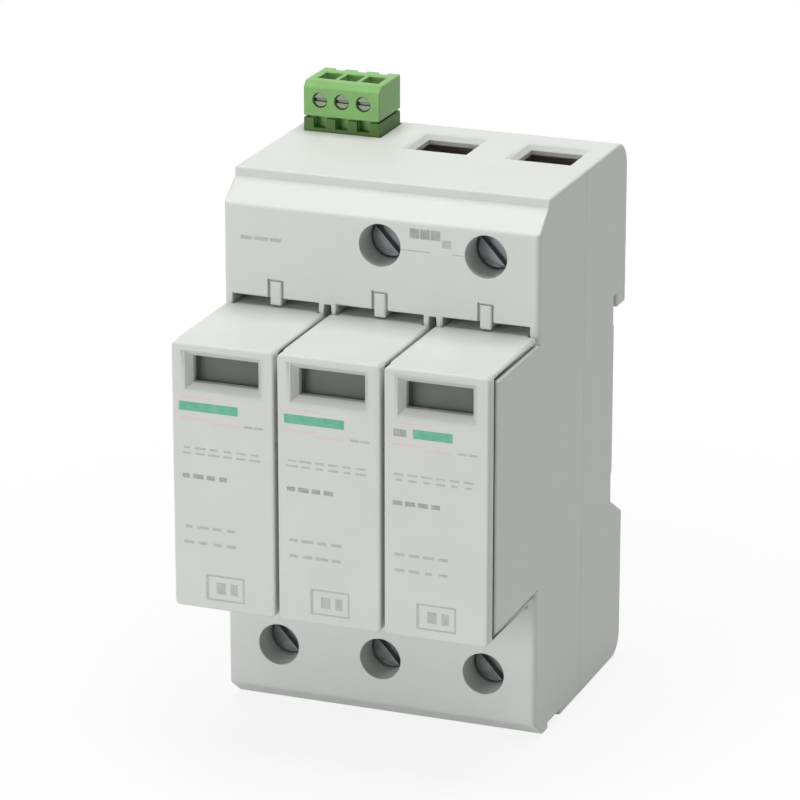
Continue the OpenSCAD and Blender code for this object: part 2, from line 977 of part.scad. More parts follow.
module plug_housing(x) {
    color(shell_grey)
        difference() {
            union() {
                along_depth([plug_front, cap_back])
                    rounded_plate([x - cap_half, -plug_half], [x + cap_half, plug_half], plug_corner);
                slab([x - plug_body_half, x + plug_body_half], [cap_back, shell_back], [-plug_half, plug_half]);
                for (side = [upper, lower])
                    sided_slab(
                        side,
                        [x - cap_half, x + cap_half],
                        [cap_back, shoulder_depth + slide_gap],
                        [plug_half - plug_rim, plug_half]
                    );
            }
            difference() {
                slab(
                    [x - shell_half, x + shell_half],
                    [cap_back, shell_back - slack],
                    [-shell_half_height, shell_half_height]
                );
                spring_anchor(x);
            }
            translate([x, -plug_front, window_rise])
                rotate([90, 0, 0])
                    tapered_opening(
                        [throat_half, throat_half_height],
                        window_bevel,
                        pocket_depth,
                        plug_cap + slack / 2
                    );
        }
}

// Bar across the plug that the flag spring hooks on
module spring_anchor(x) {
    slab(
        [x - shell_half - slack, x + shell_half + slack],
        [coil_depth + anchor_half, coil_depth - anchor_half],
        [anchor_high - anchor_height, anchor_high]
    );
}

module plug_base(x) {
    slot_half = blade_half + snug_gap;
    color(shell_grey)
        difference() {
            union() {
                slab([x - plug_body_half, x + plug_body_half], [shell_back, plug_rear], [-plug_half, plug_half]);
                slab(
                    [x - shell_half + snug_gap, x + shell_half - snug_gap],
                    [shell_back + base_rim, shell_back],
                    [snug_gap - shell_half_height, shell_half_height - snug_gap]
                );
            }
            for (side = [upper, lower])
                sided_slab(
                    side,
                    [x - slot_half, x + slot_half],
                    [shell_back + base_rim + slack, plug_rear - slack],
                    [blade_low - snug_gap, blade_high + snug_gap]
                );
        }
}

module plug_window(x) {
    half = shell_half - snug_gap;
    color([0.45, 0.47, 0.46])
        slab([x - half, x + half], [cap_back, pane_back], [flag_low, shell_half_height - snug_gap]);
}

module plug_flag(x) {
    color([0.25, 0.55, 0.33])
        union() {
            slab([x - flag_half, x + flag_half], [flag_front, flag_back], [flag_low, flag_high]);
            slab(
                [x - flag_tab_half, x + flag_tab_half],
                [flag_back, flag_back - flag_tab],
                [flag_low, flag_low + flag_tab_height]
            );
        }
}

module plug_spring(x) {
    color(zinc)
        translate([x, -coil_depth, anchor_high])
            coil(coil_radius, coil_wire, flag_low - anchor_high - snug_gap, coil_turns);
}

module plug_varistor(x) {
    half = varistor_thickness / 2;
    half_height = varistor_height / 2;
    color([0.20, 0.32, 0.55])
        along_rail([x - half, x + half])
            rounded_plate([-varistor_front, -half_height], [-varistor_rear, half_height], varistor_corner);
}

// Blade with a bent root and the plate that lies on one face of the varistor
module plug_blade(x, side) {
    near = varistor_thickness / 2;
    far = near + plate;
    face = side == upper ? [x - far, x - near] : [x + near, x + far];
    root = side == upper ? [x - far, x + blade_half] : [x - blade_half, x + far];
    color(tinned)
        union() {
            sided_slab(side, face, [blade_bend + plate_length, blade_bend], [blade_high - plate_height, blade_high]);
            sided_slab(side, root, [blade_bend + blade, blade_bend], [blade_low, blade_high]);
            sided_slab(
                side,
                [x - blade_half, x + blade_half],
                [blade_bend + blade, blade_tip],
                [blade_low, blade_high]
            );
        }
}

front_housing();
rear_housing();
pe_busbar();
rail_latch();
latch_spring();
signal_socket();
signal_pins();
signal_board();
signal_switch();
signal_plug();
signal_clamps();
for (i = [0:2]) {
    signal_screw(ways[i]);
    contact_clip(upper, poles[i]);
    line_bar(poles[i]);
    contact_clip(lower, poles[i]);
    plug_housing(poles[i]);
    plug_base(poles[i]);
    plug_window(poles[i]);
    plug_flag(poles[i]);
    plug_spring(poles[i]);
    plug_varistor(poles[i]);
    plug_blade(poles[i], upper);
    plug_blade(poles[i], lower);
}
for (i = [0:4]) {
    terminal_screw(terminals[i]);
    clamp_cage(terminals[i]);
}
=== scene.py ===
import bmesh
import bpy
import json
import math
from mathutils import Color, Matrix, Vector


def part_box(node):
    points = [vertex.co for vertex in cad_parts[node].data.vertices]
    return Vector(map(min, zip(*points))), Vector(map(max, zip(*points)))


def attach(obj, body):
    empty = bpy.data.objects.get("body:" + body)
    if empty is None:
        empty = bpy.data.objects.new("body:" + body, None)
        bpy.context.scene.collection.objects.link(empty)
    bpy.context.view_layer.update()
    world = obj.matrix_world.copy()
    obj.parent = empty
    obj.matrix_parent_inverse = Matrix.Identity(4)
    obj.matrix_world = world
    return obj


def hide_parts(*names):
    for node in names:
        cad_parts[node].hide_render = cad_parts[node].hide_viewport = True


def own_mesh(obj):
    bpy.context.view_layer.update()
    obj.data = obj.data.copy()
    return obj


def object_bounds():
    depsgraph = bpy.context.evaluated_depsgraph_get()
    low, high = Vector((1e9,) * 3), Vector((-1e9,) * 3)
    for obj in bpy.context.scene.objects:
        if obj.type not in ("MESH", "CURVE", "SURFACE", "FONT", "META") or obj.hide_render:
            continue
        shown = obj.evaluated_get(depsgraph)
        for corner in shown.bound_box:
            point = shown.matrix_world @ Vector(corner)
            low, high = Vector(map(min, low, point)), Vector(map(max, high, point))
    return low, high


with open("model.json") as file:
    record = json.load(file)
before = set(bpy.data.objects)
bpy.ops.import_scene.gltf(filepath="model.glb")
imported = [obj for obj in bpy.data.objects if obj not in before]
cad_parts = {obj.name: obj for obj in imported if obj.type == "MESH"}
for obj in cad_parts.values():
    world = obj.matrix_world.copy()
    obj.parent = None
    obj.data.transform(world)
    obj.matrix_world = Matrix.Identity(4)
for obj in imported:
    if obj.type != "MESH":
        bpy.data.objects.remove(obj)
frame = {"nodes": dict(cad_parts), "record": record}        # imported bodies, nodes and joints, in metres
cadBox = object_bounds()     # CAD box, before any piece is added
nodes = frame["nodes"]
scene = bpy.context.scene
mm = 0.001
plugNumbers = (1, 2, 3)
terminalNumbers = (1, 2, 3, 4, 5)
signalNumbers = (1, 2, 3)
slotOf = {part["node"]: part["material_slot"] for part in frame["record"]["subparts"]}
bodyOf = {}
for bodyName, members in frame["record"]["behaviour"]["bodies"].items():
    for member in members:
        bodyOf[member] = bodyName


# Colours and node helpers

def tint(red, green, blue):        # screen colour, 0 to 255, as linear RGBA
    screen = Color((red / 255, green / 255, blue / 255))
    return (*screen.from_srgb_to_scene_linear(), 1.0)


def shade(colour, factor):        # the same colour, darker or lighter
    return tuple(min(1.0, channel * factor) for channel in colour[:3]) + (1.0,)


def feed(tree, step, inputs):        # a socket is linked to its input, any other value is set on it
    for label, value in inputs.items():
        if isinstance(value, bpy.types.NodeSocket):
            tree.links.new(value, step.inputs[label])
        else:
            step.inputs[label].default_value = value
    return step


def addNode(tree, kind, inputs):
    return feed(tree, tree.nodes.new(kind), inputs)


def figure(tree, operation, first, second=0.0):        # Math node on sockets or numbers
    step = addNode(tree, "ShaderNodeMath", {0: first, 1: second})
    step.operation = operation
    return step.outputs["Value"]


def objectPlace(tree):
    return tree.nodes.new("ShaderNodeTexCoord").outputs["Object"]


def noiseOn(tree, place, scale, detail=2.0):
    noise = addNode(tree, "ShaderNodeTexNoise", {"Vector": place, "Scale": scale, "Detail": detail})
    return noise.outputs["Fac"]


def colourRamp(tree, value, low, high, start=0.35, end=0.65):
    ramp = addNode(tree, "ShaderNodeValToRGB", {"Fac": value})
    for stop, position, colour in zip(ramp.color_ramp.elements, (start, end), (low, high)):
        stop.position = position
        stop.color = colour
    return ramp.outputs["Color"]


def spread(tree, value, low, high):        # maps a 0 to 1 value to low to high
    span = addNode(tree, "ShaderNodeMapRange", {"Value": value, "To Min": low, "To Max": high})
    return span.outputs["Result"]


# Kinds of finish

def newMaterial(name, sockets):        # Principled material with its constant sockets set directly
    material = bpy.data.materials.new(name)
    material.use_nodes = True
    tree = material.node_tree
    return material, tree, feed(tree, tree.nodes["Principled BSDF"], sockets)


def dressSurface(tree, shader, look, swing, cloud, gloss, height):        # colour, gloss and relief
    colour = colourRamp(tree, cloud, shade(look["colour"], swing["dark"]),
                        shade(look["colour"], swing["light"]))
    roughness = spread(tree, gloss, look["roughness"] - swing["smooth"],
                       look["roughness"] + swing["rough"])
    bump = addNode(tree, "ShaderNodeBump", {
        "Height": height, "Strength": swing["bump"], "Distance": swing["depth"]})
    feed(tree, shader, {"Base Color": colour, "Roughness": roughness, "Normal": bump.outputs["Normal"]})


plasticBody = {"ior": 1.5, "roughSwing": 0.05}
streakSwing = {"dark": 0.9, "light": 1.06, "smooth": 0.08, "rough": 0.12, "bump": 0.25, "depth": 0.02 * mm}
turnedSwing = {"dark": 0.82, "light": 1.08, "smooth": 0.06, "rough": 0.1, "bump": 0.3, "depth": 0.01 * mm}
inkFilm = {"specular": 0.3, "start": 0.4, "end": 0.75, "smooth": 0.4, "rough": 0.6}


def mouldedPlastic(name, look):        # spark-eroded mould texture with a soft mottle
    material, tree, shader = newMaterial(name, {
        "IOR": plasticBody["ior"], "Specular IOR Level": look["specular"], "Alpha": look.get("alpha", 1.0)})
    place = objectPlace(tree)
    mottle = noiseOn(tree, place, look["mottleScale"], detail=3.0)
    grain = noiseOn(tree, place, look["grainScale"])
    swing = {"dark": 1 - look["mottle"], "light": 1 + look["mottle"], "smooth": plasticBody["roughSwing"],
             "rough": plasticBody["roughSwing"], "bump": look["bump"], "depth": look["grainDepth"]}
    dressSurface(tree, shader, look, swing, mottle, mottle, grain)
    return material


def platedMetal(name, look):        # drawn or plated metal with fine streaks along one axis
    material, tree, shader = newMaterial(name, {"Metallic": 1.0})
    place = objectPlace(tree)
    drawn = addNode(tree, "ShaderNodeMapping", {"Vector": place, "Scale": look["streak"]})
    streak = noiseOn(tree, drawn.outputs["Vector"], look["streakScale"], detail=3.0)
    cloud = noiseOn(tree, place, look["cloudScale"])
    dressSurface(tree, shader, look, streakSwing, cloud, streak, streak)
    return material


def turnedMetal(name, look):        # plated screw with turning rings, from its "ring" attribute
    material, tree, shader = newMaterial(name, {"Metallic": 1.0})
    radius = tree.nodes.new("ShaderNodeAttribute")
    radius.attribute_name = "ring"
    waves = figure(tree, "MULTIPLY", radius.outputs["Fac"], 2 * math.pi / look["ringPitch"])
    rings = figure(tree, "SINE", waves)
    cloud = noiseOn(tree, objectPlace(tree), look["cloudScale"], detail=3.0)
    dressSurface(tree, shader, look, turnedSwing, cloud, cloud, rings)
    return material


def printInk(name, look):        # thin ink film that covers a little unevenly
    material, tree, shader = newMaterial(name, {"Specular IOR Level": inkFilm["specular"]})
    cover = noiseOn(tree, objectPlace(tree), look["patchScale"], detail=4.0)
    colour = colourRamp(tree, cover, look["colour"], look["thin"], inkFilm["start"], inkFilm["end"])
    roughness = spread(tree, cover, inkFilm["smooth"], inkFilm["rough"])
    feed(tree, shader, {"Base Color": colour, "Roughness": roughness})
    return material


# Finishes, one dictionary each

shellLook = {"colour": tint(206, 209, 205), "roughness": 0.5, "specular": 0.4, "mottle": 0.014,
             "mottleScale": 90, "grainScale": 2600, "bump": 0.8, "grainDepth": 0.05 * mm}
plugLook = {"colour": tint(205, 208, 204), "roughness": 0.46, "specular": 0.4, "mottle": 0.016,
            "mottleScale": 110, "grainScale": 3000, "bump": 0.8, "grainDepth": 0.05 * mm}
connectorLook = {"colour": tint(127, 174, 104), "roughness": 0.4, "specular": 0.2, "mottle": 0.05,
                 "mottleScale": 400, "grainScale": 4200, "bump": 0.15, "grainDepth": 0.02 * mm}
headerLook = {"colour": tint(80, 110, 56), "roughness": 0.5, "specular": 0.2, "mottle": 0.06,
              "mottleScale": 400, "grainScale": 4200, "bump": 0.15, "grainDepth": 0.02 * mm}
latchLook = {"colour": tint(74, 77, 80), "roughness": 0.48, "specular": 0.4, "mottle": 0.04,
             "mottleScale": 200, "grainScale": 2600, "bump": 0.25, "grainDepth": 0.03 * mm}
switchLook = {"colour": tint(40, 41, 44), "roughness": 0.45, "specular": 0.4, "mottle": 0.05,
              "mottleScale": 300, "grainScale": 3000, "bump": 0.2, "grainDepth": 0.02 * mm}
flagLook = {"colour": tint(182, 188, 182), "roughness": 0.5, "specular": 0.3, "mottle": 0.04,
            "mottleScale": 300, "grainScale": 3000, "bump": 0.15, "grainDepth": 0.02 * mm}
varistorLook = {"colour": tint(40, 70, 130), "roughness": 0.35, "specular": 0.5, "mottle": 0.08,
                "mottleScale": 350, "grainScale": 900, "bump": 0.35, "grainDepth": 0.08 * mm}
boardLook = {"colour": tint(32, 104, 62), "roughness": 0.35, "specular": 0.5, "mottle": 0.1,
             "mottleScale": 700, "grainScale": 1600, "bump": 0.2, "grainDepth": 0.03 * mm}
windowLook = {"colour": tint(66, 68, 66), "roughness": 0.16, "specular": 0.5, "mottle": 0.06,
              "mottleScale": 240, "grainScale": 500, "bump": 0.05, "grainDepth": 0.02 * mm,
              "alpha": 0.3}        # of each of the pane's two faces
copperLook = {"colour": tint(205, 140, 100), "roughness": 0.34, "streak": (1.0, 1.0, 0.08),
              "streakScale": 3000, "cloudScale": 250}
tinLook = {"colour": tint(214, 214, 210), "roughness": 0.32, "streak": (1.0, 0.1, 1.0),
           "streakScale": 3000, "cloudScale": 300}
zincLook = {"colour": tint(196, 198, 200), "roughness": 0.36, "streak": (1.0, 0.1, 1.0),
            "streakScale": 2600, "cloudScale": 400}
# painted shade: the terminal screws' zinc is darker than the zinc plate, for the shade deep in their bores
terminalScrewShadedLook = {"colour": tint(126, 128, 130), "roughness": 0.4, "ringPitch": 0.3 * mm,
                     "cloudScale": 700}
# painted shade and painted reflection: the signal screws' zinc is darker and greener than plain zinc, for
# the shade in their holes and the green connector round them
signalScrewShadedLook = {"colour": tint(116, 124, 108), "roughness": 0.45, "ringPitch": 0.2 * mm,
                   "cloudScale": 1500}
tealLook = {"colour": tint(96, 172, 146), "thin": tint(128, 188, 166), "patchScale": 600}
roseLook = {"colour": tint(220, 194, 198), "thin": tint(212, 203, 203), "patchScale": 700}
greyLook = {"colour": tint(174, 178, 174), "thin": tint(190, 194, 190), "patchScale": 900}
darkLook = {"colour": tint(154, 158, 154), "thin": tint(178, 182, 178), "patchScale": 900}

finish = {        # by material slot
    "housing": mouldedPlastic("shellPlastic", shellLook),
    "plug_shell": mouldedPlastic("plugPlastic", plugLook),
    "connector": mouldedPlastic("connectorPlastic", connectorLook),
    "header": mouldedPlastic("headerPlastic", headerLook),
    "latch": mouldedPlastic("latchPlastic", latchLook),
    "dark_plastic": mouldedPlastic("switchPlastic", switchLook),
    "flag": mouldedPlastic("flagPlastic", flagLook),
    "varistor": mouldedPlastic("varistorCoating", varistorLook),
    "board": mouldedPlastic("boardMask", boardLook),
    "window": mouldedPlastic("smokedPane", windowLook),
    "copper": platedMetal("rolledCopper", copperLook),
    "tinned": platedMetal("tinPlate", tinLook),
    "zinc": platedMetal("zincPlate", zincLook),
}
screwMetal = {
    "terminal": turnedMetal("turnedZincPaintedShade", terminalScrewShadedLook),
    "signal": turnedMetal("smallTurnedZincPaintedShade", signalScrewShadedLook),
}
ink = {
    "teal": printInk("tealInk", tealLook),
    "rose": printInk("roseInk", roseLook),
    "grey": printInk("greyInk", greyLook),
    "dark": printInk("darkInk", darkLook),
}
print("finishes made:", len(finish) + len(screwMetal) + len(ink))


# Mesh helpers

edgeForm = {        # metres and degrees
    "merge": 0.002 * mm,
    "flat": 0.3,         # faces that meet at less are one face
    "facet": 1,          # from here to smooth, the facets of a round wall
    "smooth": 26,
    "sharp": 30,         # an edge from here on is rounded
    "rim": (70, 110),    # between the end face and the wall of something round
    "room": 2.4,         # least width of a face beside a rounded edge, in bevel widths
}


def newObject(name, data):        # at the origin, so that a piece's place is in its mesh
    item = bpy.data.objects.new(name, data)
    scene.collection.objects.link(item)
    return item


def addPiece(name, mesh, material):
    mesh.materials.clear()
    mesh.materials.append(material)
    return newObject(name, mesh)


def settle(piece, modifier):        # applies the modifier into a plain mesh
    bpy.context.view_layer.update()
    graph = bpy.context.evaluated_depsgraph_get()
    mesh = bpy.data.meshes.new_from_object(piece.evaluated_get(graph), preserve_all_data_layers=True,
                                           depsgraph=graph)
    piece.modifiers.remove(modifier)
    piece.data = mesh
    return piece


def mergePoints(skin):
    bmesh.ops.remove_doubles(skin, verts=skin.verts, dist=edgeForm["merge"])


def mergeFlats(skin):
    bmesh.ops.dissolve_limit(skin, angle_limit=math.radians(edgeForm["flat"]),
                             verts=skin.verts, edges=skin.edges)


def isCurved(face, ownEdge):        # a facet of a round wall: it meets a neighbour at a slight angle
    least, most = math.radians(edgeForm["facet"]), math.radians(edgeForm["smooth"])
    return any(least < abs(edge.calc_face_angle_signed(0.0)) < most
               for edge in face.edges if edge is not ownEdge and len(edge.link_faces) == 2)


def faceSpan(face):        # mean width of a face
    return 2 * face.calc_area() / face.calc_perimeter()


def edgeShare(edge, soft):        # share of the full bevel that an edge takes, 0 to 1
    if len(edge.link_faces) != 2:
        return 0.0
    angle = math.degrees(edge.calc_face_angle_signed(0.0))
    if angle < edgeForm["sharp"]:        # inner corners and smooth edges stay as they are
        return 0.0
    if "rule" in soft:
        share = soft["rule"](edge)
        if share is not None:
            return share
    if edge.calc_length() < soft["short"]:
        least, most = edgeForm["rim"]
        rim = least < angle < most and any(isCurved(face, edge) for face in edge.link_faces)
        return soft["rimShare"] if rim else 0.0
    room = edgeForm["room"] * soft["width"] * soft["share"]
    thin = min(faceSpan(face) for face in edge.link_faces) < room
    return 0.0 if thin else soft["share"]


def softened(node, name, soft, material, reshape=None):        # CAD node with moulded, rounded edges
    skin = bmesh.new()
    skin.from_mesh(nodes[node].data)
    mergePoints(skin)
    mergeFlats(skin)
    if reshape:
        reshape(skin)
    weight = skin.edges.layers.float.new("bevel_weight_edge")
    for edge in skin.edges:
        edge[weight] = edgeShare(edge, soft)
        edge.smooth = abs(edge.calc_face_angle(math.pi)) < math.radians(edgeForm["smooth"])
    for face in skin.faces:
        face.smooth = True
    mesh = bpy.data.meshes.new(name)
    skin.to_mesh(mesh)
    skin.free()
    piece = addPiece(name, mesh, material)
    bevel = piece.modifiers.new("roundedEdges", "BEVEL")
    bevel.limit_method = "WEIGHT"
    bevel.offset_type = "OFFSET"
    bevel.width = soft["width"]
    bevel.segments = soft["segments"]
    bevel.use_clamp_overlap = False
    bevel.harden_normals = True
    return settle(piece, bevel)


def standFor(piece, node):        # the piece rides where its node rides and takes its place
    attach(piece, bodyOf[node])
    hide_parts(node)


# Housing shells

shellForm = {"corner": 1.0 * mm, "shoulder": -38 * mm, "arcStep": 1.3 * mm, "seamShare": 0.16,
             "sideShare": 0.4, "shoulderShare": 1.0}
shellNear = {"face": 0.01 * mm, "arc": 0.02 * mm, "square": 0.001 * mm}        # how near counts as on it
rearLow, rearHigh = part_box("rear_housing")
seamY, rearY, sideX = rearLow.y, rearHigh.y, rearHigh.x


def squareCorners(skin):        # upright corners go back to square, for one even bevel on every edge
    radius = shellForm["corner"]
    for vertex in skin.verts:
        x, y, z = vertex.co
        across = abs(x) - (sideX - radius)
        for axisY, outward in ((shellForm["shoulder"] + radius, -1), (rearY - radius, 1)):
            along = (y - axisY) * outward
            offArc = abs(math.hypot(across, along) - radius)
            if min(across, along) > -shellNear["square"] and offArc < shellNear["arc"]:
                vertex.co.x = math.copysign(sideX, x)
    mergePoints(skin)
    bmesh.ops.dissolve_degenerate(skin, edges=skin.edges, dist=edgeForm["merge"])
    mergeFlats(skin)


def shellRule(edge):        # full bevel on the shoulders' upright corners, a fine one at the seam
    first, second = (vertex.co for vertex in edge.verts)

    def onFace(y):
        return all(abs(point.y - y) < shellNear["face"] for point in (first, second))

    if onFace(seamY):
        return shellForm["seamShare"]
    onSide = max(abs(abs(first.x) - sideX), abs(first.x - second.x)) < shellNear["face"]
    if onSide and onFace(shellForm["shoulder"]):
        return shellForm["shoulderShare"]
    if onSide and (first - second).length < shellForm["arcStep"]:        # round corners of the side view
        return shellForm["sideShare"]
    return None


shellEdges = {"width": 0.9 * mm, "segments": 4, "short": 1.3 * mm, "share": 0.4, "rimShare": 0.16,
              "rule": shellRule}
for node in ("front_housing", "rear_housing"):
    standFor(softened(node, node + "_shell", shellEdges, finish["housing"], squareCorners), node)
print("housing shells made")


# Arrester plugs

plugForm = {"pocketDepth": 2.5 * mm, "wall": 0.6 * mm}
plugEdges = {"width": 0.4 * mm, "segments": 3, "short": 1.1 * mm, "share": 1.0, "rimShare": 1.0}
baseEdges = {"width": 0.2 * mm, "segments": 2, "short": 1.1 * mm, "share": 1.0, "rimShare": 1.0}


def pocketRule(low, high):        # the hidden edges behind the window seat stay sharp
    def rule(edge):
        middle = (edge.verts[0].co + edge.verts[1].co) / 2
        deep = middle.y > low.y + plugForm["pocketDepth"]
        inset = min(middle.x - low.x, high.x - middle.x, middle.z - low.z, high.z - middle.z)
        return 0.0 if deep and inset >= plugForm["wall"] else None
    return rule


for number in plugNumbers:
    cover, base = f"plug_{number}_housing", f"plug_{number}_base"
    coverEdges = {**plugEdges, "rule": pocketRule(*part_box(cover))}
    for node, edges in ((cover, coverEdges), (base, baseEdges)):
        standFor(softened(node, node + "_shell", edges, finish["plug_shell"]), node)
print("plug shells made")


# Rail latch, connector and clamp cages

smallEdges = {"width": 0.25 * mm, "segments": 2, "short": 0.7 * mm, "share": 0.8, "rimShare": 0.4}
for node in ("rail_latch", "signal_plug", "signal_socket"):
    standFor(softened(node, node + "_moulding", smallEdges, finish[slotOf[node]]), node)
for number in terminalNumbers:
    node = f"clamp_cage_{number}"
    standFor(softened(node, node + "_bent", smallEdges, finish["zinc"]), node)
print("latch, connector and cages made")


# Geometry Nodes helpers

def newTree(name, inputs):        # geometry tree with named inputs and one geometry output
    tree = bpy.data.node_groups.new(name, "GeometryNodeTree")
    tree.interface.new_socket("Geometry", in_out="OUTPUT", socket_type="NodeSocketGeometry")
    for label, kind in inputs.items():
        tree.interface.new_socket(label, in_out="INPUT", socket_type="NodeSocket" + kind)
    return tree, tree.nodes.new("NodeGroupInput").outputs


def closeTree(tree, geometry, start, turned, material):        # ends in placed, real, painted mesh
    placed = addNode(tree, "GeometryNodeTransform", {
        "Geometry": geometry, "Translation": start, "Rotation": turned})
    real = addNode(tree, "GeometryNodeRealizeInstances", {"Geometry": placed.outputs["Geometry"]})
    painted = addNode(tree, "GeometryNodeSetMaterial", {
        "Geometry": real.outputs["Geometry"], "Material": material})
    addNode(tree, "NodeGroupOutput", {"Geometry": painted.outputs["Geometry"]})
    return tree


def sweptTree(name, form):        # a round or square section swept along a spiral
    tree, given = newTree(name, {"Turns": "Float", "Radius": "Float", "Length": "Float", "Section": "Float",
                                 "Start": "Vector", "Material": "Material"})
    spiral = addNode(tree, "GeometryNodeCurveSpiral", {
        "Resolution": form["steps"], "Rotations": given["Turns"], "Height": given["Length"],
        "Start Radius": given["Radius"], "End Radius": given["Radius"]})
    path = spiral.outputs["Curve"]
    if form["ridge"]:        # keeps one corner of the section outwards
        upright = addNode(tree, "GeometryNodeSetCurveNormal", {"Curve": path})
        upright.mode = "Z_UP"
        path = upright.outputs["Curve"]
    section = addNode(tree, "GeometryNodeCurvePrimitiveCircle", {
        "Resolution": form["sides"], "Radius": given["Section"]})
    swept = addNode(tree, "GeometryNodeCurveToMesh", {
        "Curve": path, "Profile Curve": section.outputs["Curve"], "Fill Caps": True})
    skin = swept.outputs["Mesh"]
    if not form["ridge"]:
        skin = addNode(tree, "GeometryNodeSetShadeSmooth", {"Geometry": skin}).outputs["Geometry"]
    return closeTree(tree, skin, given["Start"], form["turned"], given["Material"])


def runTree(name, tree, values):        # plain mesh piece from a tree and its input values
    piece = newObject(name, bpy.data.meshes.new(name))
    modifier = piece.modifiers.new("build", "NODES")
    modifier.node_group = tree
    for item in tree.interface.items_tree:
        if item.item_type == "SOCKET" and item.in_out == "INPUT":
            modifier[item.identifier] = values[item.name]
    return settle(piece, modifier)


# Screws: turned heads and a right-handed thread round the Y axis

headEdges = {"segments": 2, "short": 0.9 * mm, "share": 0.5, "rimShare": 1.0}
terminalThread = {"shank": 2.5 * mm, "depth": 0.4 * mm, "pitch": 0.8 * mm, "bevel": 0.22 * mm,
                  "metal": screwMetal["terminal"]}
signalThread = {"shank": 0.8 * mm, "depth": 0.13 * mm, "pitch": 0.26 * mm, "bevel": 0.1 * mm,
                "metal": screwMetal["signal"]}
shankBand = 0.02        # a point this near to the shank's radius, as a share of it, is on the shank
threadTree = sweptTree("screwThread", {
    "steps": 24, "sides": 4, "ridge": True, "turned": (-math.pi / 2, 0, 0)})


def ringAttribute(mesh, axisX, axisZ):        # distance from the screw's axis, for the turning rings
    ring = mesh.attributes.new("ring", "FLOAT", "POINT")
    for index, vertex in enumerate(mesh.vertices):
        ring.data[index].value = math.hypot(vertex.co.x - axisX, vertex.co.z - axisZ)


def threadedScrew(node, thread):        # head and shank from the node, with a thread cut into the shank
    low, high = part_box(node)
    axisX, axisZ = (low.x + high.x) / 2, (low.z + high.z) / 2
    shank, depth, pitch = thread["shank"], thread["depth"], thread["pitch"]
    shankY = []

    def thinShank(skin):        # the shank goes down to the root of its thread
        for vertex in skin.verts:
            across, up = vertex.co.x - axisX, vertex.co.z - axisZ
            if abs(math.hypot(across, up) - shank) < shankBand * shank:
                shankY.append(vertex.co.y)
                vertex.co.x = axisX + across * (1 - depth / shank)
                vertex.co.z = axisZ + up * (1 - depth / shank)

    soft = {**headEdges, "width": thread["bevel"]}
    piece = softened(node, node + "_turned", soft, thread["metal"], thinShank)
    length = max(shankY) - min(shankY) - 2 * depth
    ridge = runTree(node + "_thread", threadTree, {
        "Turns": length / pitch, "Radius": shank - depth, "Length": length, "Section": depth,
        "Start": (axisX, min(shankY) + depth, axisZ), "Material": thread["metal"]})
    whole = bmesh.new()
    whole.from_mesh(piece.data)
    whole.from_mesh(ridge.data)
    whole.to_mesh(piece.data)
    whole.free()
    bpy.data.objects.remove(ridge)
    ringAttribute(piece.data, axisX, axisZ)
    standFor(piece, node)


for number in terminalNumbers:
    threadedScrew(f"terminal_screw_{number}", terminalThread)
for number in signalNumbers:
    threadedScrew(f"signal_screw_{number}", signalThread)
print("screws made")


# Springs, each riding with the body of its node

latchCoil = {"turns": 7.0, "wire": 0.3 * mm, "travel": 4 * mm}
flagCoil = {"turns": 8.0, "wire": 0.16 * mm, "travel": 6 * mm}
coilInset = 1.3        # from the node's side to the middle of the wire, in wire radii
coilTree = sweptTree("wireSpring", {"steps": 28, "sides": 10, "ridge": False, "turned": (0, 0, 0)})


def wireSpring(node, coil):
    low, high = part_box(node)
    wire = coil["wire"]
    piece = runTree(node + "_wire", coilTree, {
        "Turns": coil["turns"], "Radius": (high.x - low.x) / 2 - coilInset * wire,
        "Length": high.z - low.z - 2 * wire, "Section": wire,
        "Start": ((low.x + high.x) / 2, (low.y + high.y) / 2, low.z + wire), "Material": finish["zinc"]})
    standFor(piece, node)
    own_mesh(piece)


wireSpring("latch_spring", latchCoil)
for number in plugNumbers:
    wireSpring(f"plug_{number}_spring", flagCoil)
print("springs made")


# Contacts, blades, panes and other CAD nodes that stay, each with its finish

for node, piece in nodes.items():
    if not piece.hide_render:
        piece.data.materials.clear()
        piece.data.materials.append(finish[slotOf[node]])
print("CAD nodes finished:", sum(not piece.hide_render for piece in nodes.values()))


# Print: rows of short marks by Geometry Nodes, and plain fields, with sizes in millimetres

def marksTree():
    tree, given = newTree("printRows", {
        "Rows": "Int", "Marks": "Int", "Mark Pitch": "Float", "Row Pitch": "Float", "Mark Height": "Float",
        "Film": "Float", "Shortest": "Float", "Longest": "Float", "Corner": "Vector", "Seed": "Int",
        "Material": "Material"})
    count = figure(tree, "MULTIPLY", given["Rows"], given["Marks"])
    line = addNode(tree, "GeometryNodeMeshLine", {"Count": count})
    index = tree.nodes.new("GeometryNodeInputIndex").outputs["Index"]
    middle = figure(tree, "ADD", index, 0.5)        # half a mark on, so that rounding can't move it a row
    row = figure(tree, "FLOOR", figure(tree, "DIVIDE", middle, given["Marks"]))
    mark = figure(tree, "SUBTRACT", index, figure(tree, "MULTIPLY", row, given["Marks"]))
    place = addNode(tree, "ShaderNodeCombineXYZ", {
        "X": figure(tree, "MULTIPLY", mark, given["Mark Pitch"]),
        "Z": figure(tree, "MULTIPLY", row, figure(tree, "MULTIPLY", given["Row Pitch"], -1.0))})
    moved = addNode(tree, "GeometryNodeSetPosition", {
        "Geometry": line.outputs["Mesh"], "Position": place.outputs["Vector"]})
    chance = addNode(tree, "FunctionNodeRandomValue", {        # its number sockets: 2 least, 3 most, 1 out
        2: given["Shortest"], 3: given["Longest"], "Seed": given["Seed"]})
    size = addNode(tree, "ShaderNodeCombineXYZ", {
        "X": figure(tree, "MULTIPLY", chance.outputs[1], given["Mark Pitch"]),
        "Y": given["Film"], "Z": given["Mark Height"]})
    copies = addNode(tree, "GeometryNodeInstanceOnPoints", {
        "Points": moved.outputs["Geometry"], "Scale": size.outputs["Vector"],
        "Instance": tree.nodes.new("GeometryNodeMeshCube").outputs["Mesh"]})
    return closeTree(tree, copies.outputs["Instances"], given["Corner"], (0, 0, 0), given["Material"])


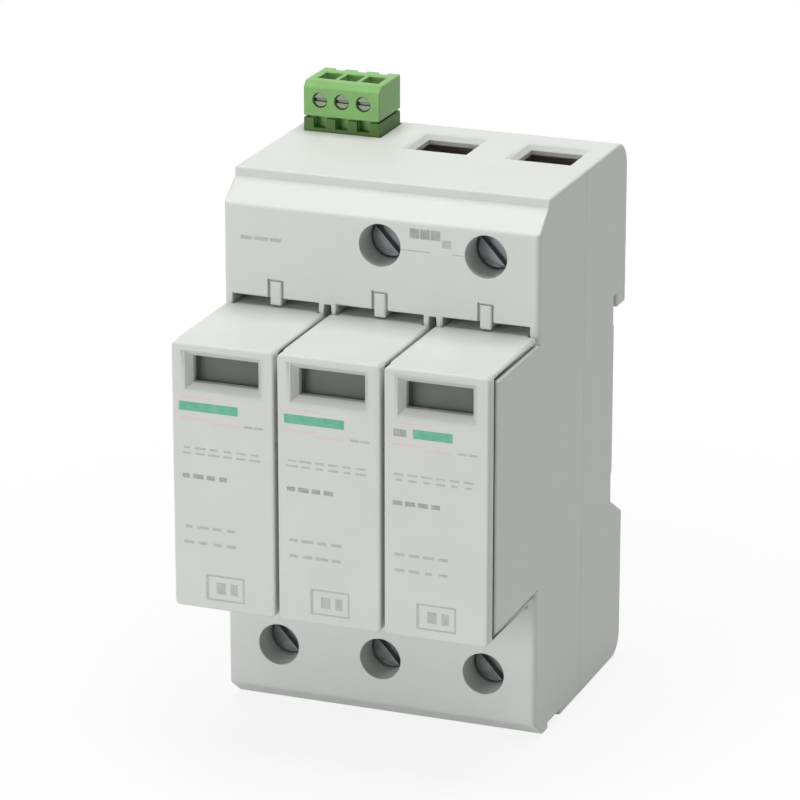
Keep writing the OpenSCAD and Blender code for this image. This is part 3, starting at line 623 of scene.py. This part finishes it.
rowTree = marksTree()
film = 0.03 * mm         # thickness of a print film, half of it in the surface
longestMark = 0.95       # share of the pitch


def inkOn(piece, body):
    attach(piece, body)


def printRows(name, body, rows, face, seed, middle=0.0):        # face is the Y of the printed surface
    pitch, (left, high) = mm * rows["pitch"], rows["corner"]
    piece = runTree(name, rowTree, {
        "Rows": rows["rows"], "Marks": rows["marks"], "Mark Pitch": pitch,
        "Row Pitch": mm * rows.get("rowPitch", 0.0), "Mark Height": mm * rows["height"], "Film": film,
        "Shortest": rows["shortest"], "Longest": longestMark, "Seed": seed, "Material": ink[rows["ink"]],
        "Corner": (mm * left + middle + pitch / 2, face, mm * high)})
    inkOn(piece, body)


def printField(name, body, bars, colour, face, middle=0.0):
    field = bmesh.new()
    for left, right, low, high in bars:
        outline = [(mm * x + middle, mm * z)
                   for x, z in ((left, low), (right, low), (right, high), (left, high))]
        front, rear = ([field.verts.new((x, face + side * film / 2, z)) for x, z in outline]
                       for side in (-1, 1))
        field.faces.new(front)
        field.faces.new(rear[::-1])
        for start, end in ((0, 1), (1, 2), (2, 3), (3, 0)):
            field.faces.new((front[end], front[start], rear[start], rear[end]))
    bmesh.ops.recalc_face_normals(field, faces=field.faces)
    mesh = bpy.data.meshes.new(name)
    field.to_mesh(mesh)
    field.free()
    inkOn(addPiece(name, mesh, ink[colour]), body)


plugPrint = {        # fields beside the pole's middle: left, right, low, high
    "teal": [(-7.4, 2.6, 10.9, 12.4)],
    "shortTeal": [(-3.8, 2.7, 10.9, 12.4)],
    "block": [(-7.0, -4.9, 11.0, 12.2)],
    "rose": [(-7.0, -1.2, 13.1, 13.4), (-7.2, -2.2, 9.6, 9.9), (-2.0, 2.6, 9.0, 9.3)],
    "frame": [(-3.2, 3.4, -16.4, -16.1), (-3.2, 3.4, -20.4, -20.1), (-3.2, -2.7, -20.1, -16.4),
              (3.1, 3.4, -20.1, -16.4), (-1.4, 0.2, -19.2, -17.3), (1.0, 2.2, -19.2, -17.3)],
}
plugRows = {        # rows of short marks, each from its first mark's left end
    "noteRow": {"rows": 1, "marks": 2, "pitch": 1.7, "height": 0.4, "shortest": 0.6,
                "corner": (3.5, 9.3), "ink": "grey"},
    "lineRows": {"rows": 2, "marks": 6, "pitch": 2.3, "rowPitch": 0.9, "height": 0.34, "shortest": 0.4,
                 "corner": (-7.3, 4.8), "ink": "grey"},
    "titleRow": {"rows": 1, "marks": 4, "pitch": 2.1, "height": 0.75, "shortest": 0.5,
                 "corner": (-7.4, 0.1), "ink": "dark"},
    "dataRows": {"rows": 2, "marks": 4, "pitch": 2.4, "rowPitch": 2.6, "height": 0.5, "shortest": 0.4,
                 "corner": (-7.2, -8.4), "ink": "grey"},
}
plugSeed = 7        # step of the seed from plug to plug
for number in plugNumbers:
    low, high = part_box(f"plug_{number}_housing")
    middle, face, body = (low.x + high.x) / 2, low.y, f"plug_{number}"
    fields = {"teal_bar": ("teal", "teal"), "rose_lines": ("rose", "rose"), "framed_mark": ("frame", "grey")}
    if number == plugNumbers[-1]:        # the right-hand plug has a short bar behind a grey block
        fields["teal_bar"] = ("shortTeal", "teal")
        fields["grey_block"] = ("block", "dark")
    for label, (bars, colour) in fields.items():
        printField(f"plug_{number}_{label}", body, plugPrint[bars], colour, face, middle)
    for label, rows in plugRows.items():
        seed = plugSeed * number + len(label)
        printRows(f"plug_{number}_{label}", body, rows, face, seed, middle)

shoulderPrint = {
    "link": [(3.6, 8.4, 33.85, 34.05), (12.2, 14.0, 33.85, 34.05), (10.5, 12.0, 34.9, 36.2)],
    "linkRow": {"rows": 1, "marks": 3, "pitch": 1.75, "height": 1.6, "shortest": 0.8,
                "corner": (5.0, 36.8), "ink": "dark"},
    "sideRow": {"rows": 1, "marks": 3, "pitch": 2.5, "height": 0.6, "shortest": 0.6,
                "corner": (-24.0, 33.2), "ink": "grey"},
}
face = shellForm["shoulder"]
printField("shoulder_link_mark", "base", shoulderPrint["link"], "grey", face)
printRows("shoulder_link_row", "base", shoulderPrint["linkRow"], face, seed=3)
printRows("shoulder_side_row", "base", shoulderPrint["sideRow"], face, seed=5)
print("print made")


# Stage: pale floor, white to the camera, soft studio light

stageForm = {"floor": 3.0, "gap": 0.2 * mm, "paint": (0.75, 0.75, 0.75, 1.0), "near": 0.04, "far": 0.13,
             "nearWhite": 0.85, "sky": (1.0, 1.0, 1.0, 1.0), "ambient": 0.22}


def seenRays(tree):        # 1 on the rays that show the backdrop, straight, mirrored or through glass
    path = tree.nodes.new("ShaderNodeLightPath").outputs
    direct = figure(tree, "MAXIMUM", path["Is Camera Ray"], path["Is Glossy Ray"])
    return figure(tree, "MAXIMUM", direct, path["Is Transmission Ray"])


def floorMaterial():        # keeps the shadow near the object and fades to white round it
    material = bpy.data.materials.new("paleFloor")
    material.use_nodes = True
    tree = material.node_tree
    tree.nodes.clear()
    matte = addNode(tree, "ShaderNodeBsdfDiffuse", {"Color": stageForm["paint"]})
    white = tree.nodes.new("ShaderNodeEmission")
    reach = addNode(tree, "ShaderNodeVectorMath", {0: objectPlace(tree)})
    reach.operation = "LENGTH"
    fade = addNode(tree, "ShaderNodeMapRange", {
        "Value": reach.outputs["Value"], "From Min": stageForm["near"], "From Max": stageForm["far"],
        "To Min": stageForm["nearWhite"]})
    fade.interpolation_type = "SMOOTHSTEP"
    mix = addNode(tree, "ShaderNodeMixShader", {
        "Fac": figure(tree, "MULTIPLY", seenRays(tree), fade.outputs["Result"]),
        1: matte.outputs["BSDF"], 2: white.outputs["Emission"]})
    addNode(tree, "ShaderNodeOutputMaterial", {"Surface": mix.outputs["Shader"]})
    return material


half = stageForm["floor"] / 2
floorMesh = bpy.data.meshes.new("floor")
floorMesh.from_pydata([(-half, -half, 0), (half, -half, 0), (half, half, 0), (-half, half, 0)],
                      [], [(0, 1, 2, 3)])
floor = addPiece("floor", floorMesh, floorMaterial())
floor.location = (0, 0, cadBox[0].z - stageForm["gap"])

world = bpy.data.worlds.new("studio")
scene.world = world
world.use_nodes = True
skyTree = world.node_tree
skyLevel = spread(skyTree, seenRays(skyTree), stageForm["ambient"], 1.0)
feed(skyTree, skyTree.nodes["Background"], {"Color": stageForm["sky"], "Strength": skyLevel})

lamps = {
    "keyLight": {"from": (-0.5, -1.1, 0.05), "size": 0.7, "power": 10.6},
    "topLight": {"from": (0.0, 0.1, 1.15), "size": 0.9, "power": 13.5},
}
for name, lamp in lamps.items():
    light = bpy.data.lights.new(name, "AREA")
    light.size = lamp["size"]
    light.energy = lamp["power"]
    holder = newObject(name, light)
    holder.location = lamp["from"]
    holder.rotation_mode = "QUATERNION"
    holder.rotation_quaternion = Vector(lamp["from"]).to_track_quat("Z", "Y")

view = {"azimuth": 20.98, "elevation": 18.95, "distance": 0.70812, "target": (0, -0.030, 0.0017),
        "lens": 197.4, "sensor": 36, "shift": (0.0028, 0.0319), "nearest": 0.01}
turn, tilt = math.radians(view["azimuth"]), math.radians(view["elevation"])
back = Vector((math.sin(turn) * math.cos(tilt), -math.cos(turn) * math.cos(tilt), math.sin(tilt)))
cameraData = bpy.data.cameras.new("camera")
cameraData.lens = view["lens"]
cameraData.sensor_width = view["sensor"]
cameraData.shift_x, cameraData.shift_y = view["shift"]
cameraData.clip_start = view["nearest"]
camera = newObject("camera", cameraData)
camera.location = Vector(view["target"]) + back * view["distance"]
camera.rotation_mode = "QUATERNION"
camera.rotation_quaternion = (-back).to_track_quat("-Z", "Y")
scene.camera = camera
scene.view_settings.view_transform = "Standard"
print("stage, light and camera made")
